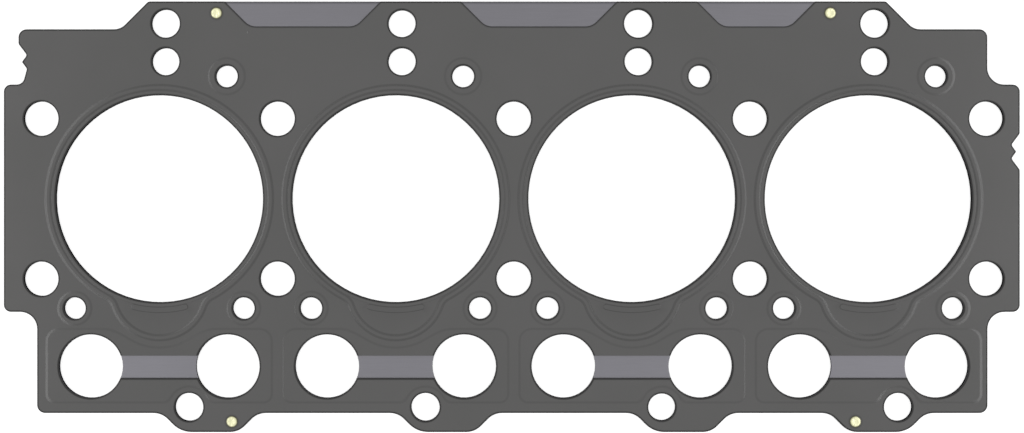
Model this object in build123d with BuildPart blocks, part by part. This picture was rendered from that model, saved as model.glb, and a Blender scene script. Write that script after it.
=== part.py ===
from build123d import *
import math
import os

# Cylinder head gasket of a four-cylinder pushrod diesel engine: an embossed, coated steel bead
# layer riveted to a thick steel carrier plate, with a stopper ring between them at each bore.
# Units are millimetres. X runs along the row of cylinders, Y from the pushrod side to the far
# side of the engine, and Z up from the cylinder block. The origin lies on the block's face, in
# the middle of the row of cylinders and of the head bolts.

# Cylinders and head bolts
cylinder_count = 4
bore_pitch = 118.0
bore_dia = 103.5
head_bolt_row_spacing = 80.0
head_bolt_hole_dia = 17.2

# Holes of the far side, placed from each cylinder's centre
far_hole_x = 3.15
far_bolt_y = 87.5
oil_return_y = 68.5
oil_return_dia = 13.6
head_coolant_x = 33.7
head_coolant_y = 61.1

# Holes of the pushrod side, placed from each cylinder's centre
block_coolant_x = 42.15
block_coolant_y = -54.7
pushrod_hole_x = 34.2
pushrod_hole_y = -83.65
pushrod_hole_dia = 31.8
tab_bolt_x = 14.9
tab_bolt_y = -104.05

# Sizes that several holes share
coolant_hole_dia = 10.9
side_bolt_hole_dia = 14.1
dowel_hole_dia = 13.5

# Outline: how far the sheets reach past the holes that they surround
left_ear_reach = 18.6
right_ear_reach = 16.6
ear_top_reach = 17.0
ear_bottom_reach = 16.5
left_upper_reach = 11.3
right_upper_reach = 0.4
left_lower_reach = 10.9
right_lower_reach = 9.4
bottom_reach = 7.45
far_edge_reach = 11.0
far_left_reach = 8.65
far_right_reach = 5.65
shoulder_drop = 13.9

# Outline: corner radii
ear_corner_radius = 3.5
ear_hollow_radius = 8.5
left_hollow_radius = 4.0
corner_radius = 4.0
slope_foot_radius = 8.0
slope_head_radius = 2.0

# Tabs along the bottom edge, each round one bolt hole and reaching on to one side of it
tab_depth = 9.5
tab_near_reach = 4.2
tab_far_reach = 24.6
tab_round_radius = 13.0
tab_corner_radius = 10.0

# Notch in each end that marks the gasket's thickness class: two scallops with a tooth between
notch_half_height = 9.0
notch_depth = 4.2
notch_scallop_y = 3.4
notch_tooth_drop = 1.7
notch_mouth_radius = 2.0
scallop_radius = 1.3
tooth_radius = 0.7
left_notch_y = 68.3
right_notch_y = 23.5

# Sheets and the embossing of the bead layer
carrier_thickness = 1.2
layer_thickness = 0.3
stopper_thickness = 0.12
stopper_width = 2.2
stopper_gap = 0.1
bead_height = 0.28
bead_width = 4.0
bead_crown_width = 1.5
bead_offset = 3.75
flank_run = 1.6
plateau_height = 0.2
pad_height = 0.15

# The bead's lobe below each bore, and the short pad inside it
lobe_y = -46.0
lobe_radius = 23.4
lobe_blend_radius = 8.0
pad_width = 3.2
pad_half_angle = 13.5

# Raised rings round the coolant holes, measured from the hole's edge to the foot of the flank
head_coolant_ring_width = 4.4
block_coolant_ring_width = 3.6

# Raised field round each pair of pushrod holes
field_gap = 4.0
field_top_y = -64.2
field_bottom_gap = 4.5
field_top_radius = 7.0
field_bottom_radius = 5.0
lobe_clearance = 2.1
tab_bolt_clearance = 2.45

# Windows in the bead layer, where the bare carrier shows
window_start = 45.0
window_length = 53.0
last_window_length = 34.0
window_depth = 12.5
window_corner_radius = 8.0
window_overrun = 5.0
strip_top_y = -78.3
strip_width = 11.2

# Rivets
rivet_shank_dia = 3.2
rivet_head_dia = 5.8
rivet_head_height = 0.26
rivet_brim_height = 0.08
rivet_rim_dia = 4.2
rivet_dish_dia = 2.6
rivet_dish_height = 0.14
rivet_tail_dia = 5.0
rivet_tail_depth = 0.8
rivet_clearance = 0.05
rivet_edge_gap = 5.8
far_rivet_left = 25.35
far_rivet_right = 22.15
tab_rivet_offset = 21.35
tab_rivet_edge_gap = 5.2

# Places worked out from the sizes above
bore_radius = bore_dia / 2
bore_xs = [(i - (cylinder_count - 1) / 2) * bore_pitch for i in range(cylinder_count)]
end_bolt_x = cylinder_count / 2 * bore_pitch
head_bolt_y = head_bolt_row_spacing / 2
far_bolt_xs = [x + far_hole_x for x in bore_xs]
tab_bolt_xs = [x + tab_bolt_x for x in bore_xs]
pushrod_xs = [x + side * pushrod_hole_x for x in bore_xs for side in (-1, 1)]
pushrod_radius = pushrod_hole_dia / 2

left_ear_x = -end_bolt_x - left_ear_reach
right_ear_x = end_bolt_x + right_ear_reach
ear_top_y = head_bolt_y + ear_top_reach
ear_bottom_y = -head_bolt_y - ear_bottom_reach
left_upper_x = -end_bolt_x - left_upper_reach
right_upper_x = end_bolt_x + right_upper_reach
left_lower_x = pushrod_xs[0] - pushrod_radius - left_lower_reach
right_lower_x = pushrod_xs[-1] + pushrod_radius + right_lower_reach
far_edge_y = far_bolt_y + far_edge_reach
shoulder_y = far_edge_y - shoulder_drop
far_left_x = far_bolt_xs[0] - far_left_reach
far_right_x = far_bolt_xs[-1] + far_right_reach
bottom_y = pushrod_hole_y - pushrod_radius - bottom_reach
tab_edge_y = bottom_y - tab_depth

layer_bottom_z = carrier_thickness
layer_top_z = layer_bottom_z + layer_thickness
bead_line_radius = bore_radius + bead_offset
stopper_radius = bore_radius + stopper_width
flank_angle = math.degrees(math.atan2(flank_run, plateau_height))
tail_angle = math.degrees(math.atan2((rivet_tail_dia - rivet_shank_dia) / 2, rivet_tail_depth))
rivet_head_z = layer_top_z + rivet_head_height
rivet_brim_z = layer_top_z + rivet_brim_height
rivet_dish_z = layer_top_z + rivet_dish_height

rivet_centres = [
    (far_bolt_xs[0] + far_rivet_left, far_edge_y - rivet_edge_gap),
    (far_bolt_xs[-1] - far_rivet_right, far_edge_y - rivet_edge_gap),
    (tab_bolt_xs[0] + tab_rivet_offset, tab_edge_y + tab_rivet_edge_gap),
    (tab_bolt_xs[-1] - tab_rivet_offset, tab_edge_y + tab_rivet_edge_gap),
]


def tab_corners(bolt_x, side):
    """Corners of one tab, left to right; side is +1 where it reaches on to the right."""
    corners = [
        (bolt_x - side * (tab_near_reach + tab_depth), bottom_y, tab_corner_radius),
        (bolt_x - side * tab_near_reach, tab_edge_y, tab_round_radius),
        (bolt_x + side * tab_far_reach, tab_edge_y, tab_corner_radius),
        (bolt_x + side * (tab_far_reach + tab_depth), bottom_y, tab_corner_radius),
    ]
    return corners if side > 0 else corners[::-1]


def notch_corners(edge_x, centre_y, inward):
    """Corners of one notch from its lower end up; inward is +1 or -1 along X."""
    floor_x = edge_x + inward * notch_depth
    return [
        (edge_x, centre_y - notch_half_height, notch_mouth_radius),
        (floor_x, centre_y - notch_scallop_y, scallop_radius),
        (edge_x + inward * notch_tooth_drop, centre_y, tooth_radius),
        (floor_x, centre_y + notch_scallop_y, scallop_radius),
        (edge_x, centre_y + notch_half_height, notch_mouth_radius),
    ]


def outline_corners():
    """Corners of the gasket's outline as (x, y, radius), anticlockwise from bottom left."""
    corners = [(left_lower_x, bottom_y, corner_radius)]
    for index, bolt_x in enumerate(tab_bolt_xs):
        corners += tab_corners(bolt_x, -1 if index == cylinder_count - 1 else 1)
    corners += [
        (right_lower_x, bottom_y, corner_radius),
        (right_lower_x, ear_bottom_y, ear_hollow_radius),
        (right_ear_x, ear_bottom_y, ear_corner_radius),
    ]
    corners += notch_corners(right_ear_x, right_notch_y, -1)
    corners += [
        (right_ear_x, ear_top_y, ear_corner_radius),
        (right_upper_x, ear_top_y, ear_hollow_radius),
        (right_upper_x, shoulder_y, corner_radius),
        (far_right_x + shoulder_drop, shoulder_y, slope_foot_radius),
        (far_right_x, far_edge_y, slope_head_radius),
        (far_left_x, far_edge_y, slope_head_radius),
        (far_left_x - shoulder_drop, shoulder_y, slope_foot_radius),
        (left_upper_x, shoulder_y, corner_radius),
    ]
    corners += notch_corners(left_upper_x, left_notch_y, 1)[:0:-1]
    corners += [
        (left_upper_x + notch_depth / 2, ear_top_y, left_hollow_radius),
        (left_ear_x, ear_top_y, ear_corner_radius),
        (left_ear_x, ear_bottom_y, ear_corner_radius),
        (left_lower_x, ear_bottom_y, ear_hollow_radius),
    ]
    return corners


def fluid_holes():
    """Round holes for coolant, oil and pushrods, the same through both sheets."""
    with BuildSketch() as holes:
        with Locations([(x, 0) for x in bore_xs]):
            Circle(bore_radius)
        with Locations([(x, oil_return_y) for x in far_bolt_xs]):
            Circle(oil_return_dia / 2)
        with Locations([(x + head_coolant_x, head_coolant_y) for x in bore_xs]):
            Circle(coolant_hole_dia / 2)
        for side in (-1, 1):
            with Locations([(x + side * block_coolant_x, block_coolant_y) for x in bore_xs]):
                Circle(coolant_hole_dia / 2)
        with Locations([(x, pushrod_hole_y) for x in pushrod_xs]):
            Circle(pushrod_radius)
    return holes.sketch


def bolt_holes():
    """Clearance holes for the head bolts, the side bolts and the two ring dowels."""
    dowels = [(far_bolt_xs[1], far_bolt_y), (tab_bolt_xs[2], tab_bolt_y)]
    side_bolts = [(x, far_bolt_y) for x in far_bolt_xs] + [(x, tab_bolt_y) for x in tab_bolt_xs]
    with BuildSketch() as holes:
        with GridLocations(bore_pitch, head_bolt_row_spacing, cylinder_count + 1, 2):
            Circle(head_bolt_hole_dia / 2)
        with Locations([place for place in side_bolts if place not in dowels]):
            Circle(side_bolt_hole_dia / 2)
        with Locations(dowels):
            Circle(dowel_hole_dia / 2)
    return holes.sketch


def rivet_holes():
    """Clearance holes for the rivet shanks."""
    with BuildSketch() as holes:
        with Locations(rivet_centres):
            Circle(rivet_shank_dia / 2 + rivet_clearance)
    return holes.sketch


def bare_areas():
    """Windows along the far edge and strips between pushrod holes, open in the bead layer."""
    lengths = [window_length] * (cylinder_count - 2) + [last_window_length]
    floor_y = far_edge_y - window_depth
    flare = window_depth + window_overrun
    with BuildSketch() as areas:
        for bore_x, length in zip(bore_xs, lengths):
            left = bore_x + window_start
            right = left + length
            with BuildLine():
                FilletPolyline(
                    (left, floor_y),
                    (right, floor_y),
                    (right + flare, floor_y + flare),
                    (left - flare, floor_y + flare),
                    radius=[window_corner_radius, window_corner_radius, 0, 0],
                    close=True,
                )
            make_face()
        with Locations([(x, strip_top_y - strip_width / 2) for x in bore_xs]):
            Rectangle(2 * pushrod_hole_x, strip_width)
    return areas.sketch


def blank():
    """The outline that both sheets are blanked to."""
    corners = outline_corners()
    with BuildSketch() as outline:
        with BuildLine():
            FilletPolyline(
                [(x, y) for x, y, radius in corners],
                radius=[radius for x, y, radius in corners],
                close=True,
            )
        make_face()
    return outline.sketch


def bead_contour(shift, height):
    """One bore's bead line, with its lobe, moved outwards by shift."""
    bore_to_blend = bead_line_radius + lobe_blend_radius
    lobe_to_blend = lobe_radius + lobe_blend_radius
    blend_y = (bore_to_blend**2 - lobe_to_blend**2 + lobe_y**2) / (2 * lobe_y)
    blend_x = math.sqrt(bore_to_blend**2 - blend_y**2)
    bore_angle = math.degrees(math.atan2(blend_y, blend_x))
    lobe_angle = math.degrees(math.atan2(blend_y - lobe_y, blend_x))
    blend_turn = bore_angle - lobe_angle
    blend_radius = lobe_blend_radius - shift
    with BuildSketch(Plane.XY.offset(height)) as contour:
        with BuildLine():
            CenterArc((0, 0), bead_line_radius + shift, bore_angle, 180 - 2 * bore_angle)
            CenterArc((-blend_x, blend_y), blend_radius, -bore_angle, blend_turn)
            CenterArc((0, lobe_y), lobe_radius + shift, 180 - lobe_angle, 180 + 2 * lobe_angle)
            CenterArc((blend_x, blend_y), blend_radius, 180 + lobe_angle, blend_turn)
        make_face()
    return contour.sketch


def bore_relief(base_z):
    """Full bead with its lobe, seat for the stopper ring and pad of one bore."""
    crown_z = base_z + bead_height
    foot = bead_width / 2
    crown = bead_crown_width / 2
    with BuildPart() as relief:
        loft([bead_contour(foot, base_z), bead_contour(crown, crown_z)], ruled=True)
        loft(
            [bead_contour(-foot, base_z), bead_contour(-crown, crown_z)],
            ruled=True,
            mode=Mode.SUBTRACT,
        )
        with BuildSketch(Plane.XY.offset(base_z)):
            Circle(stopper_radius + stopper_gap)
        extrude(amount=stopper_thickness)
        with BuildSketch(Plane.XY.offset(base_z)):
            with BuildLine():
                pad_line = CenterArc(
                    (0, 0), bead_line_radius, -90 - pad_half_angle, 2 * pad_half_angle
                )
            SlotArc(pad_line, pad_width)
        extrude(amount=pad_height)
    return relief.part


def pushrod_relief(base_z):
    """Raised field round one pair of pushrod holes, clear of the lobe and the tab bolt."""
    field_bottom_y = bottom_y + field_bottom_gap
    half_width = (bore_pitch - field_gap) / 2
    with BuildPart() as relief:
        with BuildSketch(Plane.XY.offset(base_z)):
            with BuildLine():
                FilletPolyline(
                    (-half_width, field_bottom_y),
                    (half_width, field_bottom_y),
                    (half_width, field_top_y),
                    (-half_width, field_top_y),
                    radius=[field_bottom_radius] * 2 + [field_top_radius] * 2,
                    close=True,
                )
            make_face()
            with Locations((0, lobe_y)):
                Circle(lobe_radius + bead_width / 2 + lobe_clearance, mode=Mode.SUBTRACT)
            with Locations((tab_bolt_x, tab_bolt_y)):
                Circle(side_bolt_hole_dia / 2 + tab_bolt_clearance, mode=Mode.SUBTRACT)
        extrude(amount=plateau_height, taper=flank_angle)
    return relief.part


def ring_relief(ring_width, base_z):
    """Raised ring round one coolant hole, flat on top with a sloping flank."""
    with BuildPart() as relief:
        with BuildSketch(Plane.XY.offset(base_z)):
            Circle(coolant_hole_dia / 2 + ring_width)
        extrude(amount=plateau_height, taper=flank_angle)
    return relief.part


def embossing(base_z):
    """Every raised form of the bead layer, standing on the plane at base_z."""
    with BuildPart() as relief:
        with Locations([(x, 0) for x in bore_xs]):
            add(bore_relief(base_z))
            add(pushrod_relief(base_z))
        with Locations([(x + head_coolant_x, head_coolant_y) for x in bore_xs]):
            add(ring_relief(head_coolant_ring_width, base_z))
        for side in (-1, 1):
            with Locations([(x + side * block_coolant_x, block_coolant_y) for x in bore_xs]):
                add(ring_relief(block_coolant_ring_width, base_z))
    return relief.part


outline = blank()

with BuildSketch() as holes:
    add(fluid_holes())
    add(bolt_holes())
    add(rivet_holes())

# Carrier: the thick bare plate, countersunk below for the rivet tails
with BuildPart() as carrier_plate:
    with BuildSketch():
        add(outline)
        add(holes.sketch, mode=Mode.SUBTRACT)
    extrude(amount=carrier_thickness)
    with BuildSketch():
        with Locations(rivet_centres):
            Circle(rivet_tail_dia / 2 + rivet_clearance)
    extrude(amount=rivet_tail_depth, taper=tail_angle, mode=Mode.SUBTRACT)
carrier_plate.part.label = "carrier_plate"

# Bead layer: the coated spring sheet, embossed through its thickness
with BuildPart() as top_bead_layer:
    with BuildSketch(Plane.XY.offset(layer_bottom_z)):
        add(outline)
    extrude(amount=layer_thickness)
    add(embossing(layer_top_z))
    add(embossing(layer_bottom_z), mode=Mode.SUBTRACT)
    with BuildSketch(Plane.XY.offset(layer_bottom_z)):
        add(holes.sketch)
        add(bare_areas())
    extrude(amount=layer_thickness + bead_height, mode=Mode.SUBTRACT)
top_bead_layer.part.label = "top_bead_layer"

# Stopper rings: thin collars between the sheets at the edge of each bore
stopper_rings = []
for number, bore_x in enumerate(bore_xs, start=1):
    with BuildPart() as stopper_ring:
        with BuildSketch(Plane.XY.offset(carrier_thickness)):
            with Locations((bore_x, 0)):
                Circle(stopper_radius)
                Circle(bore_radius, mode=Mode.SUBTRACT)
        extrude(amount=stopper_thickness)
    stopper_ring.part.label = f"stopper_ring_{number}"
    stopper_rings.append(stopper_ring)

# Rivets: a dished low head on the bead layer, a shank and a flush tail in the carrier
rivets = []
for number, (rivet_x, rivet_y) in enumerate(rivet_centres, start=1):
    with BuildPart() as rivet:
        with BuildSketch(Plane.XZ.offset(-rivet_y)):
            with BuildLine():
                Polyline(
                    (rivet_x, 0),
                    (rivet_x + rivet_tail_dia / 2, 0),
                    (rivet_x + rivet_shank_dia / 2, rivet_tail_depth),
                    (rivet_x + rivet_shank_dia / 2, layer_top_z),
                    (rivet_x + rivet_head_dia / 2, layer_top_z),
                    (rivet_x + rivet_head_dia / 2, rivet_brim_z),
                    (rivet_x + rivet_rim_dia / 2, rivet_head_z),
                    (rivet_x + rivet_dish_dia / 2, rivet_dish_z),
                    (rivet_x, rivet_dish_z),
                    close=True,
                )
            make_face()
        revolve(axis=Axis((rivet_x, rivet_y, 0), (0, 0, 1)))
    rivet.part.label = f"rivet_{number}"
    rivets.append(rivet)

os.makedirs("parts", exist_ok=True)
export_step(carrier_plate.part, "parts/carrier_plate.step")
export_step(top_bead_layer.part, "parts/top_bead_layer.step")
for piece in stopper_rings + rivets:
    export_step(piece.part, f"parts/{piece.part.label}.step")
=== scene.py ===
"""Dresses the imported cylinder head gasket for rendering.

The frame holds the sheets, stopper rings and rivets at their real size. This script replaces the
bead layer with a finely meshed sheet whose embossing has smooth flanks, replaces the rivets with
clinched ones, gives every piece its finish, and sets up the floor, the lights and the camera.
Lengths are in millimetres in the plan of the gasket and in metres in the meshes.
"""

import logging
import math
from dataclasses import dataclass, field
from enum import Enum
from typing import Callable, Iterable, Optional, Protocol, Sequence, Union

import bpy
import numpy as np
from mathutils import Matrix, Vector
from mathutils.geometry import delaunay_2d_cdt

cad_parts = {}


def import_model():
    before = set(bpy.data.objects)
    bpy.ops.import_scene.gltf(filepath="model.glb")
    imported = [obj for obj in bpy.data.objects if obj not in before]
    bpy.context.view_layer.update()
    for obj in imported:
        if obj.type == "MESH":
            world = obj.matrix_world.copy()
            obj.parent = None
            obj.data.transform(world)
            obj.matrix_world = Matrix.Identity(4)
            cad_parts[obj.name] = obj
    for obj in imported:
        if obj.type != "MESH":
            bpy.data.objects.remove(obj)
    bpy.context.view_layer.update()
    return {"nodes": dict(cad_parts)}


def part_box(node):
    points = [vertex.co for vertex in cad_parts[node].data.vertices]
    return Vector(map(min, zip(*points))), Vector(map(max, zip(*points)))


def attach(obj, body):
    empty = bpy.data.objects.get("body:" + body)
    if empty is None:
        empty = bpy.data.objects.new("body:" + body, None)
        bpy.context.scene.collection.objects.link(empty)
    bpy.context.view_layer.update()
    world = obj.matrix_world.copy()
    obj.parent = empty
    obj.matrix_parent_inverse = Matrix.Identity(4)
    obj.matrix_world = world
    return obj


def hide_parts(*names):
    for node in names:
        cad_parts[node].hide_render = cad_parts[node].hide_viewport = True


LOG = logging.getLogger("gasket")
MM = 0.001
IMAGE_WIDTH = 1024
IMAGE_HEIGHT = 433
SENSOR_WIDTH = 36.0

Array = np.ndarray
Number = Union[int, float]
Colour = tuple[float, float, float]
Place = tuple[float, float]
Reach = tuple[float, float, float, float]
Section = list[tuple[float, float, float]]
Crossing = tuple[int, int, int]

BLACK: Colour = (0.0, 0.0, 0.0)
WHITE: Colour = (1.0, 1.0, 1.0)
FULL_TURN = 2 * math.pi
LEVEL_MATCH = 0.01
RADIUS_MATCH = 0.1


class Slot(Enum):
    """The record's material slots."""

    COATING = "coating"
    BARE_STEEL = "bare_steel"
    STOPPER = "stopper_steel"
    RIVET = "rivet_brass"


def srgb(red: Number, green: Number, blue: Number) -> Colour:
    """Turns an eight-bit screen colour into linear light.

    Args:
        red: Red from 0 to 255.
        green: Green from 0 to 255.
        blue: Blue from 0 to 255.

    Returns:
        The colour's three linear values.
    """
    shares = (value / 255 for value in (red, green, blue))
    return tuple(s / 12.92 if s <= 0.04045 else ((s + 0.055) / 1.055) ** 2.4 for s in shares)


def placed(name: str, data: bpy.types.ID) -> bpy.types.Object:
    """Puts a mesh, a lamp or a camera into the scene.

    Args:
        name: The object's name.
        data: What the object shows.

    Returns:
        The new object, at the origin.
    """
    thing = bpy.data.objects.new(name, data)
    bpy.context.scene.collection.objects.link(thing)
    return thing


class Socket:
    """A number socket of a node tree that takes part in Python arithmetic."""

    def __init__(self, nodes: "Nodes", socket: bpy.types.NodeSocket) -> None:
        """Wraps one output socket of a tree."""
        self.nodes = nodes
        self.socket = socket

    def _maths(self, operation: str, first: "Operand", second: "Operand") -> "Socket":
        """Adds one Math node and returns its result."""
        node = self.nodes.node("ShaderNodeMath", {"operation": operation}, {0: first, 1: second})
        return Socket(self.nodes, node.outputs[0])

    def __add__(self, other: "Operand") -> "Socket":
        """Returns this plus other."""
        return self._maths("ADD", self, other)

    def __radd__(self, other: "Operand") -> "Socket":
        """Returns other plus this."""
        return self._maths("ADD", other, self)

    def __sub__(self, other: "Operand") -> "Socket":
        """Returns this minus other."""
        return self._maths("SUBTRACT", self, other)

    def __rsub__(self, other: "Operand") -> "Socket":
        """Returns other minus this."""
        return self._maths("SUBTRACT", other, self)

    def __mul__(self, other: "Operand") -> "Socket":
        """Returns this times other."""
        return self._maths("MULTIPLY", self, other)

    def __rmul__(self, other: "Operand") -> "Socket":
        """Returns other times this."""
        return self._maths("MULTIPLY", other, self)

    def __truediv__(self, other: "Operand") -> "Socket":
        """Returns this divided by other."""
        return self._maths("DIVIDE", self, other)

    def __gt__(self, other: "Operand") -> "Socket":
        """Returns 1 where this is greater than other, else 0."""
        return self._maths("GREATER_THAN", self, other)

    def clamped(self) -> "Socket":
        """Returns this held between 0 and 1."""
        return self._maths("MINIMUM", self._maths("MAXIMUM", self, 0.0), 1.0)

    def size(self) -> "Socket":
        """Returns this without its sign."""
        return self._maths("ABSOLUTE", self, 0.0)


Operand = Union[Socket, Number]


class Nodes:
    """A node tree, emptied, and the one method that adds nodes to it."""

    def __init__(self, tree: bpy.types.NodeTree) -> None:
        """Keeps the tree and takes its first nodes away."""
        self.tree = tree
        self.tree.nodes.clear()

    def node(
        self,
        kind: str,
        settings: Optional[dict] = None,
        inputs: Optional[dict] = None,
    ) -> bpy.types.Node:
        """Adds one node, sets it up and feeds its sockets.

        Args:
            kind: The node's type.
            settings: Properties to set first; "stops" fills a colour ramp.
            inputs: Values or links, by socket name or number.

        Returns:
            The new node.
        """
        node = self.tree.nodes.new(kind)
        for name, value in (settings or {}).items():
            if name == "stops":
                ramp = node.color_ramp
                while len(ramp.elements) < len(value):
                    ramp.elements.new(0.5)
                for element, (position, colour) in zip(ramp.elements, value):
                    element.position = position
                    element.color = (*colour, 1.0)
            else:
                setattr(node, name, value)
        for name, value in (inputs or {}).items():
            self.feed(node.inputs[name], value)
        return node

    def feed(self, target: bpy.types.NodeSocket, value: object) -> None:
        """Links a socket to the target, or sets the target's own value.

        Args:
            target: The input socket.
            value: A socket to link, or a number, colour or vector to set.
        """
        source = value.socket if isinstance(value, Socket) else value
        if isinstance(source, bpy.types.NodeSocket):
            self.tree.links.new(source, target)
        elif isinstance(source, tuple) and len(source) == 3 and target.type == "RGBA":
            target.default_value = (*source, 1.0)
        else:
            target.default_value = source


class Shader(Nodes):
    """The node tree of one material, with a Principled surface."""

    def __init__(self, name: str) -> None:
        """Makes an empty material with its output and its Principled surface.

        Args:
            name: The material's name.
        """
        self.material = bpy.data.materials.new(name)
        self.material.use_nodes = True
        super().__init__(self.material.node_tree)
        self.surface = self.node("ShaderNodeBsdfPrincipled")
        surface = {"Surface": self.surface.outputs[0]}
        self.output = self.node("ShaderNodeOutputMaterial", inputs=surface)
        self.place = self.node("ShaderNodeTexCoord").outputs["Object"]
        self.normal = self.node("ShaderNodeNewGeometry").outputs["Normal"]

    def set(self, **values: object) -> None:
        """Feeds the Principled surface, with underscores for the spaces in a socket's name."""
        for name, value in values.items():
            self.feed(self.surface.inputs[name.replace("_", " ")], value)

    def scaled(self, x: float, y: float, z: float) -> bpy.types.NodeSocket:
        """Returns the object's coordinates stretched along each axis."""
        factors = {0: self.place, 1: (x, y, z)}
        return self.node("ShaderNodeVectorMath", {"operation": "MULTIPLY"}, factors).outputs[0]

    def noise(
        self,
        scale: Number,
        detail: Number = 2,
        roughness: Number = 0.5,
        place: Optional[bpy.types.NodeSocket] = None,
    ) -> Socket:
        """Returns a noise texture between 0 and 1.

        Args:
            scale: Repeats in each metre.
            detail: How many finer octaves are added.
            roughness: How strong the finer octaves are.
            place: Coordinates to use instead of the object's own.

        Returns:
            The noise as a number.
        """
        inputs = {
            "Vector": place or self.place,
            "Scale": float(scale),
            "Detail": float(detail),
            "Roughness": float(roughness),
        }
        node = self.node("ShaderNodeTexNoise", {"noise_dimensions": "3D"}, inputs)
        return Socket(self, node.outputs["Fac"])

    def blend(self, factor: Operand, first: object, second: object) -> bpy.types.NodeSocket:
        """Returns first at a factor of 0 and second at 1, as colours."""
        inputs = {0: factor, 6: first, 7: second}
        return self.node("ShaderNodeMix", {"data_type": "RGBA"}, inputs).outputs[2]

    def attribute(self, name: str) -> Socket:
        """Returns one of the mesh's own values."""
        node = self.node("ShaderNodeAttribute", {"attribute_name": name})
        return Socket(self, node.outputs["Fac"])

    def upward(self) -> Socket:
        """Returns the height part of the surface's normal, from -1 to 1."""
        node = self.node("ShaderNodeSeparateXYZ", inputs={0: self.normal})
        return Socket(self, node.outputs["Z"])

    def across(self) -> Socket:
        """Returns the place along Y in metres."""
        node = self.node("ShaderNodeSeparateXYZ", inputs={0: self.place})
        return Socket(self, node.outputs["Y"])

    def bump(self, height: Socket, depth_mm: float, strength: float) -> bpy.types.NodeSocket:
        """Returns a normal bent by a height map that is depth_mm deep."""
        inputs = {"Height": height, "Distance": depth_mm * MM, "Strength": strength}
        return self.node("ShaderNodeBump", inputs=inputs).outputs[0]


@dataclass(frozen=True)
class CoatingFinish:
    """Dark rubber coating on the bead layer: matt, slightly mottled, with a fine grain, and darkened
    with painted shade along its cut edges, below the strips, round the rivets and on the embossing's
    flanks.
    """

    tone: Colour = srgb(92, 92, 91)
    pale_tone: Colour = srgb(98, 97, 97)
    grain_per_m: float = 2600.0
    grain_detail: float = 0.6
    grain_share: float = 0.5
    grain_roughness: float = 0.1
    grain_depth_mm: float = 0.01
    grain_strength: float = 0.35
    cloud_per_m: float = 14.0
    cloud_detail: float = 0.55
    cloud_share: float = 1.4
    cloud_roughness: float = 0.08
    roughness: float = 0.17
    gloss: float = 0.27
    edge_painted_shade: float = 0.76
    edge_spread: float = 2.2
    edge_matt: float = 0.5
    flank_painted_shade: float = 0.24
    flank_matt: float = 0.1

    def build(self) -> bpy.types.Material:
        """Makes the material and returns it."""
        shader = Shader(Slot.COATING.value)
        cloud = shader.noise(self.cloud_per_m, 3, self.cloud_detail)
        grain = shader.noise(self.grain_per_m, 3, self.grain_detail)
        clouds, grains = cloud - 0.5, grain - 0.5
        mottling = (clouds * self.cloud_share + grains * self.grain_share + 0.5).clamped()
        sheet = shader.blend(mottling, self.tone, self.pale_tone)
        # The edge attribute is painted shade: dark lines at the cut edges, a painted shadow below
        # each strip and round each rivet.
        edge = (shader.attribute("edge") * self.edge_spread).clamped()
        flank = shader.attribute("flank")
        # Painted shade darkens the base colour at the edges and on the flanks, standing in for how
        # the lamps light them.
        painted_shade = (edge * self.edge_painted_shade + flank * self.flank_painted_shade).clamped()
        uneven = grains * self.grain_roughness + clouds * self.cloud_roughness
        matt = flank * self.flank_matt + edge * self.edge_matt
        shader.set(
            Base_Color=shader.blend(painted_shade, sheet, BLACK),
            Roughness=uneven + matt + self.roughness,
            Specular_IOR_Level=self.gloss,
            Normal=shader.bump(grain, self.grain_depth_mm, self.grain_strength),
        )
        return shader.material


@dataclass(frozen=True)
class SteelFinish:
    """Bare cold-rolled steel with fine rolling lines, with near-black painted shade on its cut edges
    and along the far edge.
    """

    name: str
    tone: Colour = srgb(127, 126, 131)
    pale_tone: Colour = srgb(137, 136, 142)
    painted_shade_tone: Colour = srgb(20, 20, 20)
    fade_per_m: float = 2.8
    lines_per_m: float = 3200.0
    line_stretch: float = 0.02
    line_detail: float = 0.55
    line_share: float = 0.9
    line_roughness: float = 0.15
    line_depth_mm: float = 0.004
    line_strength: float = 0.5
    cloud_per_m: float = 30.0
    cloud_share: float = 0.6
    roughness: float = 0.42
    metallic: float = 0.25
    gloss: float = 0.0
    far_edge_y: float = 98.5
    far_edge_width: float = 1.5
    far_edge_shade: float = 0.6

    def build(self) -> bpy.types.Material:
        """Makes the material and returns it."""
        shader = Shader(self.name)
        rolled = shader.scaled(self.line_stretch, 1.0, 1.0)
        lines = shader.noise(self.lines_per_m, 3, self.line_detail, rolled)
        cloud = shader.noise(self.cloud_per_m, 3)
        # The walls of the cut edges get painted shade instead of lit steel.
        flat = shader.upward().size() > 0.5
        across = shader.across()
        streaks = (lines - 0.5) * self.line_share + (cloud - 0.5) * self.cloud_share
        shade = (streaks - across * self.fade_per_m + 0.5).clamped()
        sheet = shader.blend(shade, self.tone, self.pale_tone)
        # Painted shade along the carrier's far edge.
        rim_start = (self.far_edge_y - self.far_edge_width) * MM
        rim = ((across - rim_start) / (self.far_edge_width * MM)).clamped()
        sheet = shader.blend(rim * self.far_edge_shade, sheet, self.painted_shade_tone)
        shader.set(
            Base_Color=shader.blend(flat, self.painted_shade_tone, sheet),
            Roughness=self.roughness + (lines - 0.5) * self.line_roughness,
            Metallic=flat * self.metallic,
            Specular_IOR_Level=self.gloss,
            Normal=shader.bump(lines, self.line_depth_mm, self.line_strength),
        )
        return shader.material


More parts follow.
